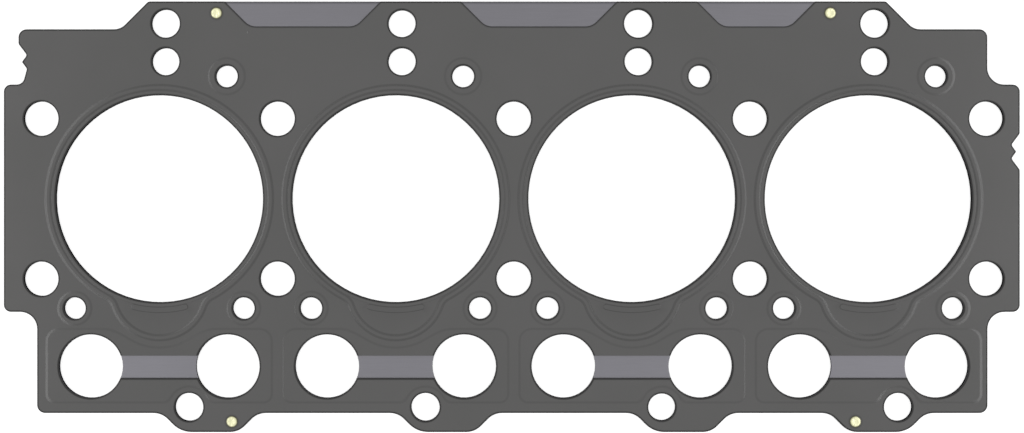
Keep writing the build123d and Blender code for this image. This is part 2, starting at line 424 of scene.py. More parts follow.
@dataclass(frozen=True)
class RivetFinish:
    """Yellow-passivated rivet, with a painted highlight on top of the clinched head and painted shade
    in its olive ring.
    """

    highlight_tone: Colour = srgb(241, 240, 198)
    shaded_ring_tone: Colour = srgb(74, 72, 44)
    highlight_share: float = 1.2
    blotches_per_m: float = 900.0
    blotch_share: float = 0.3
    blotch_roughness: float = 0.2
    blotch_depth_mm: float = 0.12
    blotch_strength: float = 0.5
    roughness: float = 0.38
    metallic: float = 0.6

    def build(self) -> bpy.types.Material:
        """Makes the material and returns it."""
        shader = Shader(Slot.RIVET.value)
        blotches = shader.noise(self.blotches_per_m)
        # Painted highlight on the crown, fading to painted shade in the ring.
        crown = shader.attribute("crown") * self.highlight_share
        bright = (crown + (blotches - 0.5) * self.blotch_share).clamped()
        shader.set(
            Base_Color=shader.blend(bright, self.shaded_ring_tone, self.highlight_tone),
            Roughness=self.roughness + (blotches - 0.5) * self.blotch_roughness,
            Metallic=bright * self.metallic,
            Normal=shader.bump(blotches, self.blotch_depth_mm, self.blotch_strength),
        )
        return shader.material


@dataclass(frozen=True)
class Hole:
    """A round hole through the sheets, in millimetres."""

    x: float
    y: float
    radius: float
    fewest_sides: int = 48

    def sides(self, step: float) -> int:
        """Returns how many sides of about that length the hole gets."""
        return max(self.fewest_sides, round(FULL_TURN * self.radius / step))

    def loop(self, step: float) -> Array:
        """Divides the hole's edge into equal steps.

        Args:
            step: The wanted length of a step.

        Returns:
            The points as rows of x and y, anticlockwise.
        """
        sides = self.sides(step)
        turns = np.arange(sides) / sides * FULL_TURN
        return np.c_[self.x + self.radius * np.cos(turns), self.y + self.radius * np.sin(turns)]

    def holds(self, points: Array, step: float) -> Array:
        """Tells which points lie within the hole's many-sided edge.

        Args:
            points: Points as rows of x and y.
            step: The step that the hole's loop was made with.

        Returns:
            One truth value for each point.
        """
        side = FULL_TURN / self.sides(step)
        dx, dy = points[:, 0] - self.x, points[:, 1] - self.y
        off = np.mod(np.arctan2(dy, dx), side) - side / 2
        return np.hypot(dx, dy) * np.cos(off) < self.radius * math.cos(side / 2)


def inside(points: Array, loop: Array) -> Array:
    """Tells which points lie inside a closed loop.

    Args:
        points: Points as rows of x and y.
        loop: The loop's corners in order.

    Returns:
        One truth value for each point.
    """
    x, y = points[:, 0], points[:, 1]
    within = np.zeros(len(points), bool)
    for (ax, ay), (bx, by) in zip(loop, np.roll(loop, -1, axis=0)):
        if ay != by:
            crosses = (ay > y) != (by > y)
            within ^= crosses & (x < (bx - ax) * (y - ay) / (by - ay) + ax)
    return within


def follow(links: dict[int, int]) -> Iterable[list[int]]:
    """Follows a table that leads from one point to the next.

    Args:
        links: The next point of each point.

    Returns:
        Each closed ring of points in turn.
    """
    left = dict(links)
    while left:
        start, point = left.popitem()
        ring = [start]
        while point != start:
            ring.append(point)
            point = left.pop(point)
        yield ring


@dataclass
class GasketPlan:
    """The gasket's outline and holes, read from the carrier plate's top face."""

    outline: Array
    holes: list[Hole]

    @classmethod
    def of_node(cls, node: bpy.types.Object, top_mm: float) -> "GasketPlan":
        """Reads the edges of a flat node's top face.

        Args:
            node: The flat sheet.
            top_mm: The height of its top face.

        Returns:
            The plan, with round loops as holes and the longest loop as the outline.
        """
        mesh = node.data
        places = np.empty(len(mesh.vertices) * 3)
        mesh.vertices.foreach_get("co", places)
        places = places.reshape(-1, 3) / MM
        points, index = np.unique(np.round(places, 3), axis=0, return_inverse=True)
        index = index.ravel()
        links: dict[tuple[int, int], bool] = {}
        for polygon in mesh.polygons:
            ring = [int(index[v]) for v in polygon.vertices]
            if all(abs(points[v][2] - top_mm) < LEVEL_MATCH for v in ring):
                for edge in zip(ring, ring[1:] + ring[:1]):
                    if links.pop(edge[::-1], None) is None:
                        links[edge] = True
        loops = [points[ring][:, :2] for ring in follow(dict(links.keys()))]
        loops.sort(key=lambda loop: -np.ptp(loop, axis=0).max())
        holes = []
        for loop in loops[1:]:
            centre = (loop.min(axis=0) + loop.max(axis=0)) / 2
            radius = np.hypot(*(loop - centre).T).mean()
            holes.append(Hole(float(centre[0]), float(centre[1]), float(radius)))
        return cls(loops[0], sorted(holes, key=lambda hole: (hole.x, hole.y)))

    def near(self, radius: float, low: float = -math.inf, high: float = math.inf) -> list[Hole]:
        """Returns the holes of about that radius whose centres lie between two places along Y."""
        alike = [hole for hole in self.holes if abs(hole.radius - radius) < RADIUS_MATCH]
        return [hole for hole in alike if low < hole.y < high]


def loop_distance(loop: Array, x: Array, y: Array) -> Array:
    """Measures how far each place lies from a closed loop.

    Args:
        loop: The loop's corners in order.
        x: The places along X.
        y: The places along Y.

    Returns:
        The distances, never negative.
    """
    nearest = np.full(x.shape, np.inf)
    for start, end in zip(loop, np.roll(loop, -1, axis=0)):
        run = end - start
        share = ((x - start[0]) * run[0] + (y - start[1]) * run[1]) / max(run @ run, 1e-9)
        share = np.clip(share, 0, 1)
        away = np.hypot(x - start[0] - share * run[0], y - start[1] - share * run[1])
        nearest = np.minimum(nearest, away)
    return nearest


def widened(loop: Array, shift: float) -> Array:
    """Moves an anticlockwise loop outwards.

    Args:
        loop: The loop's corners in order.
        shift: How far it moves, or a negative number to move it inwards.

    Returns:
        The moved corners.
    """
    ahead = np.roll(loop, -1, axis=0) - loop
    ahead /= np.linalg.norm(ahead, axis=1)[:, None]
    behind = np.roll(ahead, 1, axis=0)
    normal = np.c_[ahead[:, 1] + behind[:, 1], -ahead[:, 0] - behind[:, 0]]
    normal /= (1 + (ahead * behind).sum(axis=1))[:, None]
    return loop + normal * shift


class Profile(Protocol):
    """How high the sheet is lifted at each distance from a contour."""

    def levels(self) -> list[float]:
        """Returns the distances that need a line of the mesh."""

    def lift(self, distance: Array) -> Array:
        """Returns the lift at each distance, negative inside the contour."""


def eased(share: Array) -> Array:
    """Returns a share from 0 to 1 with soft ends."""
    held = np.clip(share, 0, 1)
    return held * held * (3 - 2 * held)


@dataclass(frozen=True)
class Ridge:
    """A full bead: a rounded ridge that runs along the contour."""

    height: float
    half_width: float
    crown: float

    def levels(self) -> list[float]:
        """Returns lines across both flanks and along the crown."""
        side = list(np.linspace(self.half_width, self.crown, 5))
        return [-level for level in side] + [0.0] + side

    def lift(self, distance: Array) -> Array:
        """Returns the ridge's height at each distance."""
        flank = self.half_width - self.crown
        return self.height * eased((self.half_width - np.abs(distance)) / flank)


@dataclass(frozen=True)
class Plateau:
    """A half bead: the sheet steps up inside the contour and stays up."""

    height: float
    run: float

    def levels(self) -> list[float]:
        """Returns lines across the flank."""
        return [-self.run * share for share in (0.0, 0.25, 0.5, 0.75, 1.0)]

    def lift(self, distance: Array) -> Array:
        """Returns the step's height at each distance."""
        return self.height * eased(-distance / self.run)


@dataclass
class PlanLines:
    """The lines that the triangles of a flat sheet have to follow."""

    points: list[Vector] = field(default_factory=list)
    edges: list[tuple[int, int]] = field(default_factory=list)

    def add(self, line: Sequence[Place], closed: bool = False) -> None:
        """Adds a line.

        Args:
            line: Its points in order.
            closed: Whether the last point is joined to the first.
        """
        start, count = len(self.points), len(line)
        self.points += [Vector(point) for point in line]
        runs = count if closed else count - 1
        self.edges += [(start + i, start + (i + 1) % count) for i in range(runs)]


Distance = Callable[[Array, Array], Array]


def level_lines(values: Array, xs: Array, ys: Array, level: float) -> list[Array]:
    """Traces where a grid of values crosses a level.

    Args:
        values: One value for each y and x.
        xs: The grid's columns.
        ys: The grid's rows.
        level: The value to trace.

    Returns:
        The lines as arrays of points; a closed line ends where it starts.
    """
    above = values > level
    across = np.argwhere(above[:, :-1] != above[:, 1:])
    upward = np.argwhere(above[:-1] != above[1:])
    places: dict[Crossing, Place] = {}
    for row, column in across:
        first, second = values[row, column], values[row, column + 1]
        share = (level - first) / (second - first)
        places[0, row, column] = (xs[column] + share * (xs[column + 1] - xs[column]), ys[row])
    for row, column in upward:
        first, second = values[row, column], values[row + 1, column]
        share = (level - first) / (second - first)
        places[1, row, column] = (xs[column], ys[row] + share * (ys[row + 1] - ys[row]))
    cells = {(row, column) for row, column in across} | {(row - 1, column) for row, column in across}
    cells |= {(row, column) for row, column in upward} | {(row, column - 1) for row, column in upward}
    joined: dict[Crossing, list[Crossing]] = {key: [] for key in places}
    for row, column in cells:
        sides = [(0, row, column), (1, row, column), (0, row + 1, column), (1, row, column + 1)]
        met = [side for side in sides if side in places]
        for first, second in zip(met[::2], met[1::2]):
            joined[first].append(second)
            joined[second].append(first)
    return [line for line in chains(joined, places) if len(line) > 2]


def chains(
    joined: dict[Crossing, list[Crossing]], places: dict[Crossing, Place]
) -> list[Array]:
    """Strings crossings together into lines.

    Args:
        joined: The crossings that each crossing is joined to.
        places: Where each crossing is.

    Returns:
        The lines, with open ones followed from an end.
    """
    lines = []
    while joined:
        ends = [key for key, others in joined.items() if len(others) < 2]
        key = ends[0] if ends else next(iter(joined))
        start, line = key, [places[key]]
        while True:
            others = joined.pop(key)
            onward = [other for other in others if other in joined]
            if not onward:
                if start in others and len(line) > 2:
                    line.append(places[start])
                break
            key = onward[0]
            line.append(places[key])
        lines.append(np.array(line))
    return lines


def evenly(line: Array, step: float) -> Array:
    """Spaces a line's points about one step apart.

    Args:
        line: The line's points in order.
        step: The wanted distance.

    Returns:
        The new points, with the first and last kept.
    """
    lengths = np.r_[0, np.cumsum(np.hypot(*np.diff(line, axis=0).T))]
    marks = np.linspace(0, lengths[-1], max(4, round(lengths[-1] / step)) + 1)
    return np.c_[np.interp(marks, lengths, line[:, 0]), np.interp(marks, lengths, line[:, 1])]


@dataclass(frozen=True)
class Relief:
    """One embossed form, repeated at several places."""

    distance: Distance
    profile: Profile
    places: Sequence[Place]
    reach: Reach
    # Share of painted shade and matt roughness on the form's flanks.
    flank_shade_and_matt: float = 0.5
    grid: float = 0.4
    step: float = 1.1

    def lines(self) -> list[Array]:
        """Returns the lines that the mesh needs along the form's flanks."""
        low_x, low_y, high_x, high_y = self.reach
        xs = np.arange(low_x, high_x + self.grid, self.grid)
        ys = np.arange(low_y, high_y + self.grid, self.grid)
        values = self.distance(*np.meshgrid(xs, ys))
        levels = [level_lines(values, xs, ys, level) for level in self.profile.levels()]
        traced = [evenly(line, self.step) for lines in levels for line in lines]
        return [line + np.array(place) for place in self.places for line in traced]

    def lift(self, x: Array, y: Array) -> Array:
        """Tells how high the form lifts the sheet.

        Args:
            x: The places along X.
            y: The places along Y.

        Returns:
            The lift at each place.
        """
        highest = np.zeros(x.shape)
        low_x, low_y, high_x, high_y = self.reach
        for place_x, place_y in self.places:
            near = (x > place_x + low_x) & (x < place_x + high_x)
            near &= (y > place_y + low_y) & (y < place_y + high_y)
            lift = self.profile.lift(self.distance(x[near] - place_x, y[near] - place_y))
            highest[near] = np.maximum(highest[near], lift)
        return highest


def circle(radius: float) -> Distance:
    """Returns the distance from a circle about the origin, negative inside it."""
    return lambda x, y: np.hypot(x, y) - radius


def softer_maximum(first: Array, second: Array, blend: float) -> Array:
    """Returns the larger of two distances, rounded where they meet.

    Args:
        first: One distance.
        second: The other distance.
        blend: How wide the rounding is.

    Returns:
        The blended distance.
    """
    overlap = np.maximum(blend - np.abs(first - second), 0)
    return np.maximum(first, second) + overlap * overlap / (4 * blend)


def lifted(reliefs: list[Relief], x: Array, y: Array) -> Array:
    """Tells how high all the embossed forms together lift the sheet.

    Args:
        reliefs: The forms.
        x: The places along X.
        y: The places along Y.

    Returns:
        The lift at each place.
    """
    return np.maximum.reduce([relief.lift(x, y) for relief in reliefs])


def border_of(triangles: Array) -> Array:
    """Finds the edges that only one triangle has.

    Args:
        triangles: The corners of each triangle, all turning the same way.

    Returns:
        The two points of each edge, in the triangle's direction and in a fixed order.
    """
    directed = np.vstack([triangles[:, [0, 1]], triangles[:, [1, 2]], triangles[:, [2, 0]]])
    pairs = {(int(a), int(b)) for a, b in directed}
    border = np.array([(a, b) for a, b in pairs if (b, a) not in pairs])
    return border[np.lexsort(border.T)]


def unit(vectors: Array) -> Array:
    """Returns the vectors at length 1."""
    return vectors / np.linalg.norm(vectors, axis=1)[:, None]


@dataclass(frozen=True)
class Surface:
    """The sheet's upper face, point by point."""

    plan: Array
    height: Array
    slope_x: Array
    slope_y: Array
    rolled: Array
    flank: Array


@dataclass(frozen=True)
class BeadLayer:
    """The coated and embossed top sheet."""

    plan: GasketPlan
    rivets: Sequence[Place]
    bottom: float = 1.2
    thickness: float = 0.3

    bore_radius: float = 51.75
    pushrod_radius: float = 15.9
    coolant_radius: float = 5.45
    head_coolant_low: float = 50.0
    block_coolant_high: float = -40.0

    bead_height: float = 0.28
    bead_line_radius: float = 55.5
    bead_half_width: float = 2.0
    bead_crown: float = 0.5
    bead_reach: Reach = (-60, -73, 60, 60)
    # These shares set how much painted shade and matt roughness each form's flanks get.
    bead_shade_and_matt: float = 1.0
    lobe_y: float = -46.0
    lobe_radius: float = 23.4
    lobe_blend: float = 8.0

    seat_height: float = 0.12
    seat_radius: float = 54.05
    seat_flank: float = 0.3
    seat_reach: Reach = (-56, -56, 56, 56)
    pad_height: float = 0.15
    pad_half_width: float = 1.6
    pad_run: float = 0.5
    pad_half_angle: float = math.radians(13.5)
    pad_reach: Reach = (-17, -60, 17, -48)
    pad_shade_and_matt: float = 1.6

    head_ring_width: float = 4.4
    block_ring_width: float = 3.6
    ring_margin: float = 1.0
    ring_grid: float = 0.25
    ring_shade_and_matt: float = 0.7

    plateau_height: float = 0.2
    flank: float = 1.6
    field_reach: Reach = (-59, -106, 59, -60)
    field_shade_and_matt: float = 0.6
    field_half_width: float = 57.0
    field_top: float = -64.2
    field_bottom: float = -102.5
    field_top_corner: float = 7.0
    field_bottom_corner: float = 5.0
    field_lobe_gap: float = 2.1
    field_blend: float = 6.0
    tab_bolt: Place = (14.9, -104.05)
    tab_ring: float = 9.5

    dimple: Place = (-132.5, 83.0)
    dimple_radius: float = 0.9
    dimple_height: float = 0.12
    dimple_run: float = 0.7
    dimple_reach: Reach = (-2, -2, 2, 2)
    dimple_grid: float = 0.15
    dimple_step: float = 0.4

    # The rolled band at the cut edges also carries painted shade, as do the lips below the strips and
    # a ring round each rivet.
    edge_roll: float = 1.0
    roll_share: float = 0.98
    edge_drop: float = 0.1
    edge_tilt: float = 0.35
    lip_width: float = 1.2
    lip_margin: float = 0.001
    window_roll_and_shade: float = 0.55
    steep: float = 0.2
    rivet_head: float = 2.9
    rivet_brim: float = 0.3
    rivet_ring: float = 1.0
    rivet_shade: float = 0.3
    rivet_step: float = 0.4

    window_start: float = 45.0
    window_lengths: tuple[float, ...] = (53.0, 53.0, 34.0)
    window_depth: float = 12.5
    window_flare: float = 5.0
    window_slope: float = math.radians(45)
    window_corner: float = 8.0
    window_corner_points: int = 8
    strip_top: float = -78.3
    strip_width: float = 11.2

    hole_step: float = 0.75
    bore_step: float = 1.2
    coarse_radius: float = 20.0
    slope_probe: float = 0.04
    merge_within: float = 0.005

    def bead_distance(self, x: Array, y: Array) -> Array:
        """Measures the distance from one bore's bead line, with its lobe.

        Args:
            x: The places along X from the bore's centre.
            y: The places along Y.

        Returns:
            The distances, negative inside the line.
        """
        to_bore = self.bead_line_radius + self.lobe_blend
        to_lobe = self.lobe_radius + self.lobe_blend
        blend_y = (to_bore**2 - to_lobe**2 + self.lobe_y**2) / (2 * self.lobe_y)
        blend_x = math.sqrt(to_bore**2 - blend_y**2)
        side = np.abs(x)
        bore = np.hypot(side, y) - self.bead_line_radius
        lobe = np.hypot(side, y - self.lobe_y) - self.lobe_radius
        off_x, off_y = side - blend_x, y - blend_y
        past_bore = -blend_x * off_y + blend_y * off_x >= 0
        before_lobe = off_x * (self.lobe_y - blend_y) + off_y * blend_x >= 0
        blended = self.lobe_blend - np.hypot(off_x, off_y)
        return np.where(past_bore & before_lobe, blended, np.minimum(bore, lobe))

    def pad_distance(self, x: Array, y: Array) -> Array:
        """Measures the distance from the short pad below one bore.

        Args:
            x: The places along X from the bore's centre.
            y: The places along Y.

        Returns:
            The distances, negative on the pad.
        """
        along = np.clip(np.arctan2(x, -y), -self.pad_half_angle, self.pad_half_angle)
        end_x = self.bead_line_radius * np.sin(along)
        end_y = -self.bead_line_radius * np.cos(along)
        return np.hypot(x - end_x, y - end_y) - self.pad_half_width

    def field_distance(self, x: Array, y: Array) -> Array:
        """Measures the distance from the raised field round one pair of pushrod holes.

        Args:
            x: The places along X from the bore's centre.
            y: The places along Y.

        Returns:
            The distances, negative on the field.
        """
        middle = (self.field_top + self.field_bottom) / 2
        half = (self.field_top - self.field_bottom) / 2
        corner = np.where(y > middle, self.field_top_corner, self.field_bottom_corner)
        out_x = np.abs(x) - self.field_half_width + corner
        out_y = np.abs(y - middle) - half + corner
        inner = np.minimum(np.maximum(out_x, out_y), 0)
        block = inner + np.hypot(np.maximum(out_x, 0), np.maximum(out_y, 0)) - corner
        lobe_edge = self.lobe_radius + self.bead_half_width + self.field_lobe_gap
        lobe = lobe_edge - np.hypot(x, y - self.lobe_y)
        tab = self.tab_ring - np.hypot(x - self.tab_bolt[0], y - self.tab_bolt[1])
        bitten = softer_maximum(block, lobe, self.field_blend)
        return softer_maximum(bitten, tab, self.field_blend / 2)

    def ring(self, holes: list[Hole], width: float) -> Relief:
        """Makes the raised ring round each of several equal holes.

        Args:
            holes: The holes.
            width: From a hole's edge to the foot of the ring's flank.

        Returns:
            The rings as one form.
        """
        radius = holes[0].radius + width
        far = radius + self.ring_margin
        places = [(hole.x, hole.y) for hole in holes]
        step = Plateau(self.plateau_height, self.flank)
        reach = (-far, -far, far, far)
        return Relief(circle(radius), step, places, reach, self.ring_shade_and_matt, self.ring_grid)

    def reliefs(self) -> list[Relief]:
        """Returns the embossed forms: bead, stopper's seat, pad, field, two rings and dimple."""
        bores = [(hole.x, 0.0) for hole in self.plan.near(self.bore_radius)]
        bead = Ridge(self.bead_height, self.bead_half_width, self.bead_crown)
        seat = Plateau(self.seat_height, self.seat_flank)
        pad = Plateau(self.pad_height, self.pad_run)
        raised = Plateau(self.plateau_height, self.flank)
        dimple = Plateau(self.dimple_height, self.dimple_run)
        head_holes = self.plan.near(self.coolant_radius, low=self.head_coolant_low)
        block_holes = self.plan.near(self.coolant_radius, high=self.block_coolant_high)
        return [
            Relief(self.bead_distance, bead, bores, self.bead_reach, self.bead_shade_and_matt),
            Relief(circle(self.seat_radius), seat, bores, self.seat_reach),
            Relief(self.pad_distance, pad, bores, self.pad_reach, self.pad_shade_and_matt),
            Relief(self.field_distance, raised, bores, self.field_reach, self.field_shade_and_matt),
            self.ring(head_holes, self.head_ring_width),
            self.ring(block_holes, self.block_ring_width),
            Relief(
                circle(self.dimple_radius),
                dimple,
                [self.dimple],
                self.dimple_reach,
                flank_shade_and_matt=0.0,
                grid=self.dimple_grid,
                step=self.dimple_step,
            ),
        ]

    def window_loops(self) -> list[Array]:
        """Returns the windows along the far edge, where the bare carrier shows."""
        floor = self.plan.outline[:, 1].max() - self.window_depth
        flare = self.window_depth + self.window_flare
        back = self.window_corner * math.tan(self.window_slope / 2)
        turns = np.linspace(0, self.window_slope, self.window_corner_points)
        arc_x = self.window_corner * np.sin(turns)
        arc_y = self.window_corner * (1 - np.cos(turns))
        loops = []
        for bore, length in zip(self.plan.near(self.bore_radius), self.window_lengths):
            left = bore.x + self.window_start
            right = left + length
            right_arc = np.c_[right - back + arc_x, floor + arc_y]
            left_arc = np.c_[left + back - arc_x, floor + arc_y][::-1]
            top = [[right + flare, floor + flare], [left - flare, floor + flare]]
            loops.append(np.vstack([right_arc, top, left_arc]))
        return loops

    def strip_loops(self) -> list[Array]:
        """Returns the strips between the pushrod holes of each bore."""
        pushrods = self.plan.near(self.pushrod_radius)
        top, bottom = self.strip_top, self.strip_top - self.strip_width
        return [
            np.array([[a.x, bottom], [b.x, bottom], [b.x, top], [a.x, top]])
            for a, b in zip(pushrods[::2], pushrods[1::2])
        ]

    def lips(self) -> list[tuple[Array, Array]]:
        """Returns the ends of each strip's lower edge, where the sheet is drawn down a little and a
        painted shadow line runs along the coating below the strip.
        """
        return [(loop[0], loop[1]) for loop in self.strip_loops()]

    def hole_step_of(self, hole: Hole) -> float:
        """Returns how finely a hole's edge is divided."""
        return self.bore_step if hole.radius > self.coarse_radius else self.hole_step

    def mesh_lines(self, reliefs: list[Relief], openings: list[Array]) -> PlanLines:
        """Gathers the lines that the sheet's mesh has to follow.

        Args:
            reliefs: The embossed forms.
            openings: The windows and the strips.

        Returns:
            The cut edges, where they stop rolling over, the embossing, the rivets and the lips.
        """
        roll = self.edge_roll
        rings = [self.plan.outline, *openings]
        rings += [hole.loop(self.hole_step_of(hole)) for hole in self.plan.holes]
        rings.append(widened(self.plan.outline, -roll))
        rings += [widened(loop, roll) for loop in openings]
        for hole in self.plan.holes:
            wider = Hole(hole.x, hole.y, hole.radius + roll)
            rings.append(wider.loop(self.hole_step_of(hole)))
        lines = PlanLines()
        for ring in rings:
            lines.add(ring, closed=True)
        for relief in reliefs:
            for line in relief.lines():
                lines.add(line)
        head = self.rivet_head
        for x, y in self.rivets:
            for radius in (head - self.rivet_brim, head, head + self.rivet_ring):
                lines.add(Hole(x, y, radius).loop(self.rivet_step), closed=True)
        for first, second in self.lips():
            lines.add([first - (0, self.lip_width), second - (0, self.lip_width)])
        return lines

    def flat_mesh(self, reliefs: list[Relief]) -> tuple[Array, Array]:
        """Divides the sheet's plan into triangles that follow the embossing.

        Args:
            reliefs: The embossed forms.

        Returns:
            The points in millimetres and the corners of each triangle, turning anticlockwise.
        """
        openings = self.window_loops() + self.strip_loops()
        lines = self.mesh_lines(reliefs, openings)
        LOG.info("flat mesh from %d points", len(lines.points))
        found, _, faces, *_ = delaunay_2d_cdt(lines.points, lines.edges, [], 0, self.merge_within)
        plan = np.array(found)
        triangles = np.array(faces)
        centres = plan[triangles].mean(axis=1)
        kept = inside(centres, self.plan.outline)
        for loop in openings:
            kept &= ~inside(centres, loop)
        for hole in self.plan.holes:
            kept &= ~hole.holds(centres, self.hole_step_of(hole))
        triangles = triangles[kept]
        used, renumbered = np.unique(triangles, return_inverse=True)
        plan, top = plan[used], renumbered.reshape(-1, 3)
        first, second, third = (plan[top[:, corner]] for corner in range(3))
        turned = np.cross(second - first, third - first) < 0
        top[turned] = top[turned][:, ::-1]
        return plan, top

    def rolled(self, x: Array, y: Array) -> Array:
        """Tells how far the sheet rolls over towards its cut edges and the lips, and how much painted
        shade lies there and round the rivets.

        Args:
            x: The places along X.
            y: The places along Y.

        Returns:
            1 at a cut edge, falling to 0 where the rolled-over edge begins; the coating darkens with
            it as painted shade.
        """
        reach = self.roll_share * self.edge_roll
        nearest = loop_distance(self.plan.outline, x, y)
        for hole in self.plan.holes:
            away = np.abs(np.hypot(x - hole.x, y - hole.y) - hole.radius)
            nearest = np.minimum(nearest, away)
        rolled = np.clip(1 - nearest / reach, 0, 1)
        # Windows get a weaker share of painted shade and roll.
        for loop in self.window_loops():
            share = np.clip(1 - loop_distance(loop, x, y) / reach, 0, 1)
            rolled = np.maximum(rolled, self.window_roll_and_shade * share)
        # Painted shadow ring round each rivet's head; the sheet is not rolled there.
        for centre_x, centre_y in self.rivets:
            past = np.hypot(x - centre_x, y - centre_y) - self.rivet_head
            share = np.clip(1 - past / self.rivet_ring, 0, 1)
            rolled = np.maximum(rolled, self.rivet_shade * share)
        # Painted shadow line along the coating below each strip, where the sheet is also drawn down.
        for first, second in self.lips():
            below = (x > first[0]) & (x < second[0]) & (y < first[1] + self.lip_margin)
            drawn = np.clip(1 - (first[1] - y) / self.lip_width, 0, 1)
            rolled = np.where(below, np.maximum(rolled, drawn), rolled)
        return rolled

    def beside_rivet(self, x: Array, y: Array) -> Array:
        """Tells which places lie under or just beside a rivet's head.

        Args:
            x: The places along X.
            y: The places along Y.

        Returns:
            One truth value for each place.
        """
        close = np.zeros(x.shape, bool)
        for centre_x, centre_y in self.rivets:
            reach = self.rivet_head + self.rivet_ring
            close |= np.hypot(x - centre_x, y - centre_y) < reach
        return close

    def surface(self, reliefs: list[Relief], plan: Array) -> Surface:
        """Shapes the sheet's upper face.

        Args:
            reliefs: The embossed forms.
            plan: The points of the flat mesh.

        Returns:
            The lift, the slopes, the rolled-over edges with their painted shade, and the share of
            painted shade and matt on the flanks at each point.
        """
        x, y, probe = plan[:, 0], plan[:, 1], self.slope_probe
        height = lifted(reliefs, x, y)
        slope_x = (lifted(reliefs, x + probe, y) - lifted(reliefs, x - probe, y)) / (2 * probe)
        slope_y = (lifted(reliefs, x, y + probe) - lifted(reliefs, x, y - probe)) / (2 * probe)
        # Each form's share of painted shade and matt on its flanks, standing in for how the lamps
        # light the slopes.
        flank_shade_and_matt = np.maximum.reduce([(relief.lift(x, y) > 0) * relief.flank_shade_and_matt for relief in reliefs])
        flank = flank_shade_and_matt * np.clip(np.hypot(slope_x, slope_y) / self.steep, 0, 1)
        return Surface(plan, height, slope_x, slope_y, self.rolled(x, y), flank)

    def points(self, surface: Surface) -> Array:
        """Places the points of both faces.

        Args:
            surface: The sheet's upper face.

        Returns:
            The points of the upper face, then those of the lower one, in millimetres.
        """
        level = surface.height + self.bottom
        beside_rivet = self.beside_rivet(surface.plan[:, 0], surface.plan[:, 1])
        drop = self.edge_drop * np.where(beside_rivet, 0, surface.rolled)
        upper = np.c_[surface.plan, level + self.thickness - drop]
        return np.vstack([upper, np.c_[surface.plan, level]])

    def corner_normals(self, surface: Surface, top: Array, border: Array) -> Array:
        """Works out the normal at every corner of every face.

        Args:
            surface: The sheet's upper face.
            top: The corners of the upper face's triangles.
            border: The edges of its border.

        Returns:
            The normals of the upper face, then those of the lower face and of the cut edges.
        """
        run = surface.plan[border[:, 1]] - surface.plan[border[:, 0]]
        outward = unit(np.c_[run[:, 1], -run[:, 0], np.zeros(len(run))])
        upper = np.c_[-surface.slope_x, -surface.slope_y, np.ones(len(surface.plan))]
        lower = -unit(upper)
        np.add.at(upper, border[:, 0], outward * self.edge_tilt / 2)
        np.add.at(upper, border[:, 1], outward * self.edge_tilt / 2)
        upper = unit(upper)
        walls = np.repeat(outward, 4, axis=0)
        return np.vstack([upper[top.ravel()], lower[top[:, ::-1].ravel()], walls])

    def build(self, coating: bpy.types.Material, edge: bpy.types.Material) -> bpy.types.Object:
        """Makes the sheet as one closed mesh.

        Args:
            coating: The finish of both faces.
            edge: The finish of the cut edges.

        Returns:
            The new piece.
        """
        reliefs = self.reliefs()
        plan, top = self.flat_mesh(reliefs)
        surface = self.surface(reliefs, plan)
        border = border_of(top)
        count = len(plan)
        below = top[:, ::-1] + count
        walls = np.c_[border[:, 1], border[:, 0], border[:, 0] + count, border[:, 1] + count]
        faces = [*top.tolist(), *below.tolist(), *walls.tolist()]

        mesh = bpy.data.meshes.new("bead_sheet")
        mesh.from_pydata((self.points(surface) * MM).tolist(), [], faces)
        mesh.materials.append(coating)
        mesh.materials.append(edge)
        material_of = np.r_[np.zeros(len(top) + len(below), int), np.ones(len(walls), int)]
        mesh.polygons.foreach_set("material_index", material_of)
        mesh.polygons.foreach_set("use_smooth", np.ones(len(faces), bool))
        mesh.normals_split_custom_set(self.corner_normals(surface, top, border).tolist())
        # Both attributes carry painted shade for the coating: edge at the cut edges, lips and rivets,
        # flank on the embossing's slopes.
        for name, values in (("edge", surface.rolled), ("flank", surface.flank)):
            layer = mesh.attributes.new(name, "FLOAT", "POINT")
            layer.data.foreach_set("value", np.r_[values, np.zeros(count)])
        mesh.update()
        LOG.info("bead sheet: %d faces", len(faces))
        return placed("bead_sheet", mesh)


